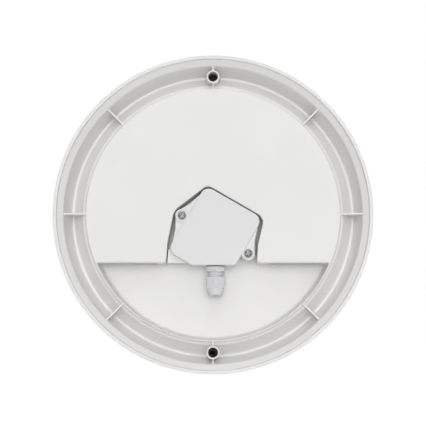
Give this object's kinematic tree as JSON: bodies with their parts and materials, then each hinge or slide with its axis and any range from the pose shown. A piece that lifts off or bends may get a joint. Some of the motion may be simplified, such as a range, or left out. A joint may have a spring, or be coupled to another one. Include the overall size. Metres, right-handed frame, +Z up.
{
  "type": "bathroom extractor fan",
  "caption": "Round surface-mounted extractor fan: ribbed rear housing, terminal box with cable gland, centrifugal impeller, domed ring-grille cover.",
  "frame": {"origin": "fan axis on the wall plane, where the rim's rear face lies", "axes": "+Z up, +Y out of the wall side along the fan axis, the room side (front cover) towards -Y"},
  "size_m": [0.3, 0.08, 0.3],
  "materials": {
    "housing_plastic": "satin moulded white",
    "box_plastic": "satin moulded off-white",
    "lid_plastic": "fine-textured off-white",
    "cover_plastic": "semi-gloss white",
    "black_rubber": "matt black elastomer",
    "screw_steel": "zinc-plated",
    "lid_screw_steel": "worn zinc-plated",
    "zinc_steel": "galvanised sheet",
    "shaft_steel": "ground steel",
    "spring_steel": "oiled spring steel",
    "lamination_steel": "stacked laminations",
    "copper_winding": "enamelled copper wire",
    "bronze": "sintered bronze",
    "brass": "plain brass",
    "cage_aluminium": "die cast",
    "block_plastic": "natural nylon",
    "gland_plastic": "light grey nylon",
    "lead_sleeve": "soft insulation",
    "capacitor_case": "dark moulded case",
    "washer_plastic": "natural thermoplastic",
    "impeller_plastic": "light grey moulded",
    "flap_plastic": "thin moulded plastic"
  },
  "bodies": {
    "housing": {"rear_housing": "housing_plastic", "wall_bushes": "black_rubber", "terminal_box": "box_plastic", "box_screws": "screw_steel", "lid_gasket": "black_rubber", "terminal_block": "block_plastic", "terminal_screws": "brass", "gland_body": "gland_plastic", "gland_seal": "black_rubber", "gland_locknut": "gland_plastic", "gland_insert": "black_rubber", "lead_grommet": "black_rubber", "motor_leads": "lead_sleeve", "run_capacitor": "capacitor_case", "capacitor_clip": "zinc_steel", "motor_bridge": "zinc_steel", "bridge_screws": "screw_steel", "stator_core": "lamination_steel", "stator_windings": "copper_winding", "bearing_front": "bronze", "bearing_rear": "bronze", "thrust_washer": "washer_plastic", "inlet_plate": "cover_plastic", "inlet_screws": "screw_steel"},
    "box_lid": {"terminal_lid": "lid_plastic", "lid_screws": "lid_screw_steel"},
    "gland_cap": {"gland_nut": "gland_plastic"},
    "rotor": {"motor_shaft": "shaft_steel", "shaft_clip": "spring_steel", "rotor_cup": "zinc_steel", "rotor_cage": "cage_aluminium", "impeller": "impeller_plastic"},
    "flap_l": {"flap_left": "flap_plastic"},
    "flap_r": {"flap_right": "flap_plastic"},
    "cover": {"front_cover": "cover_plastic"}
  },
  "joints": [
    {"name": "impeller_spin", "type": "hinge", "parent": "housing", "child": "rotor", "pos_m": [0, -0.05, 0], "axis": [0, -1, 0], "continuous": true},
    {"name": "flap_left_swing", "type": "hinge", "parent": "housing", "child": "flap_l", "pos_m": [0.0768, -0.027, -0.0447], "axis": [-1, 0, 0], "range_deg": [0, 75], "stiffness_Nm_per_rad": 0.0004},
    {"name": "flap_right_swing", "type": "hinge", "parent": "housing", "child": "flap_r", "pos_m": [-0.0768, -0.027, -0.0447], "axis": [-1, 0, 0], "range_deg": [0, 75], "stiffness_Nm_per_rad": 0.0004},
    {"name": "gland_turn", "type": "hinge", "parent": "housing", "child": "gland_cap", "pos_m": [-0.0023, -0.0185, -0.065], "axis": [0, 0, -1], "range_deg": [-360, 0]},
    {"name": "lid_lift", "type": "slide", "parent": "housing", "child": "box_lid", "axis": [0, 1, 0], "range_m": [0, 0.03]},
    {"name": "cover_pull", "type": "slide", "parent": "housing", "child": "cover", "axis": [0, -1, 0], "range_m": [0, 0.08]}
  ]
}
